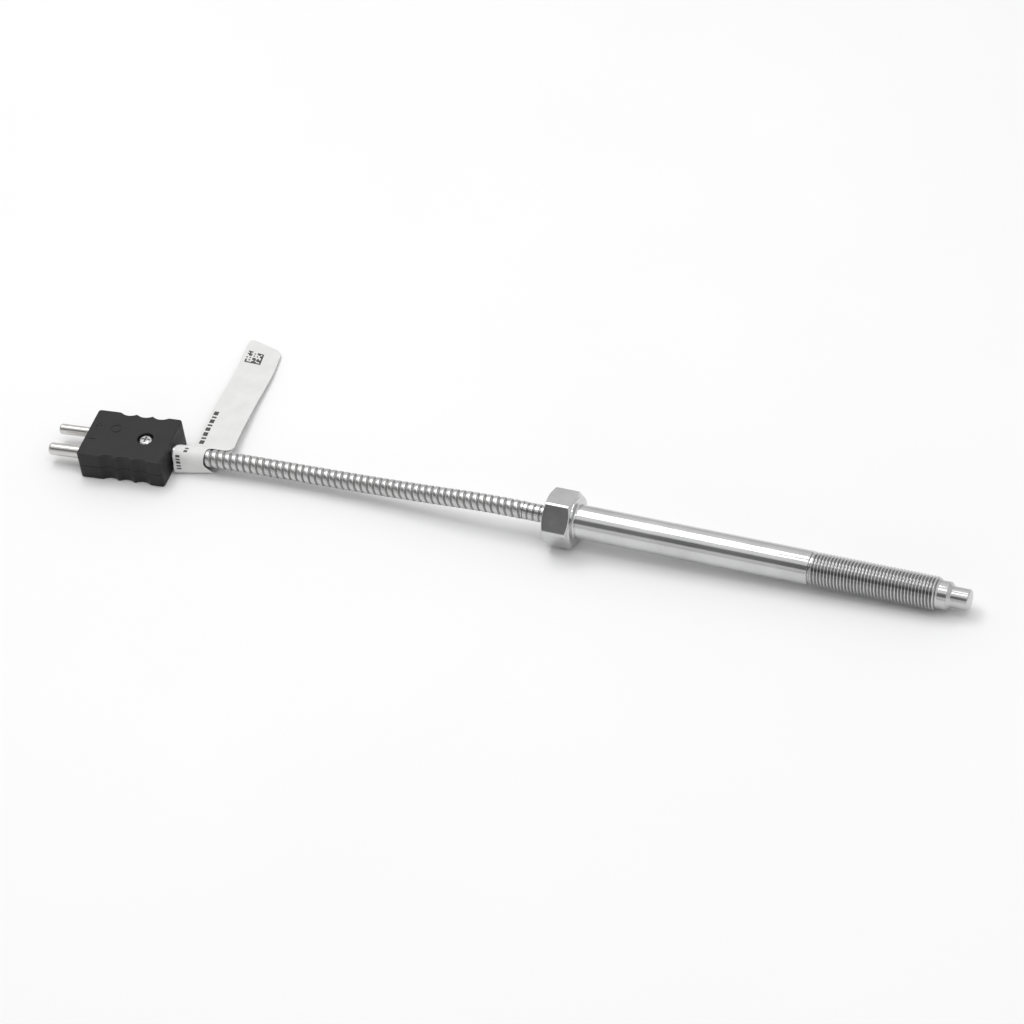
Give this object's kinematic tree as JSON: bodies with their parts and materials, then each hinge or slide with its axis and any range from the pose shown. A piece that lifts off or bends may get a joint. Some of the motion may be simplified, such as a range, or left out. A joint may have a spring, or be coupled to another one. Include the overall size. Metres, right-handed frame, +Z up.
{
  "type": "melt bolt thermocouple probe",
  "caption": "Hex-head threaded temperature probe bolt with a turned sensing nose, a flexible steel armoured lead, a flag label and a flat two-pin plug.",
  "frame": {"origin": "centre of the hex head's bearing face, on the bolt's axis", "axes": "+X along the bolt from the head to the sensing tip, +Z up with the part lying on a table that slopes 1.59 degrees from X, +Y to the far side from the camera"},
  "size_m": [0.3628, 0.0862, 0.0259],
  "materials": {
    "bolt_steel": "turned and polished stainless steel",
    "nose_steel": "fine turned stainless steel",
    "sheath_steel": "drawn stainless steel tube",
    "mineral": "compacted white mineral powder",
    "iron_wire": "bright drawn wire",
    "constantan_wire": "bright drawn wire, slightly warm",
    "weld": "as welded",
    "epoxy": "dark potting resin",
    "crimp_tin": "tinned copper",
    "ferrule_steel": "drawn and crimped stainless steel",
    "armour_steel": "strip-wound bright steel",
    "glass_braid": "woven glass yarn",
    "core_red": "coloured glass braid",
    "core_white": "white glass braid",
    "label_film": "white film, semi-matt, plain bars and blocks printed in black",
    "plug_black": "glass-filled moulding, fine grained",
    "screw_steel": "bright plated steel",
    "insert_brass": "machined brass",
    "contact_metal": "polished contact alloy",
    "bush_rubber": "black rubber"
  },
  "bodies": {
    "probe": {"probe_bolt": "bolt_steel", "sensing_nose": "nose_steel", "sheath_tube": "sheath_steel", "mineral_fill": "mineral", "element_wire_positive": "iron_wire", "element_wire_negative": "constantan_wire", "junction_bead": "weld", "transition_sleeve": "sheath_steel", "potting": "epoxy", "wire_splices": "crimp_tin", "ferrule": "ferrule_steel", "armour_hose": "armour_steel", "glass_sleeve": "glass_braid", "conductor_positive": "iron_wire", "conductor_negative": "constantan_wire", "insulation_positive": "core_white", "insulation_negative": "core_red", "marker_label": "label_film", "plug_base": "plug_black", "cover_insert": "insert_brass", "contact_positive": "contact_metal", "contact_negative": "contact_metal", "terminal_screws": "screw_steel", "terminal_washers": "crimp_tin", "entry_bush": "bush_rubber"},
    "cover": {"plug_cover": "plug_black"},
    "screw": {"cover_screw": "screw_steel"}
  },
  "joints": [
    {"name": "cover_lift", "type": "slide", "parent": "probe", "child": "cover", "axis": [-0.0277, 0, 0.9996], "range_m": [0, 0.012]},
    {"name": "cover_screw_turn", "type": "hinge", "parent": "cover", "child": "screw", "pos_m": [-0.17502, 0.00035, -0.00902], "axis": [-0.0277, 0, 0.9996], "continuous": true}
  ]
}
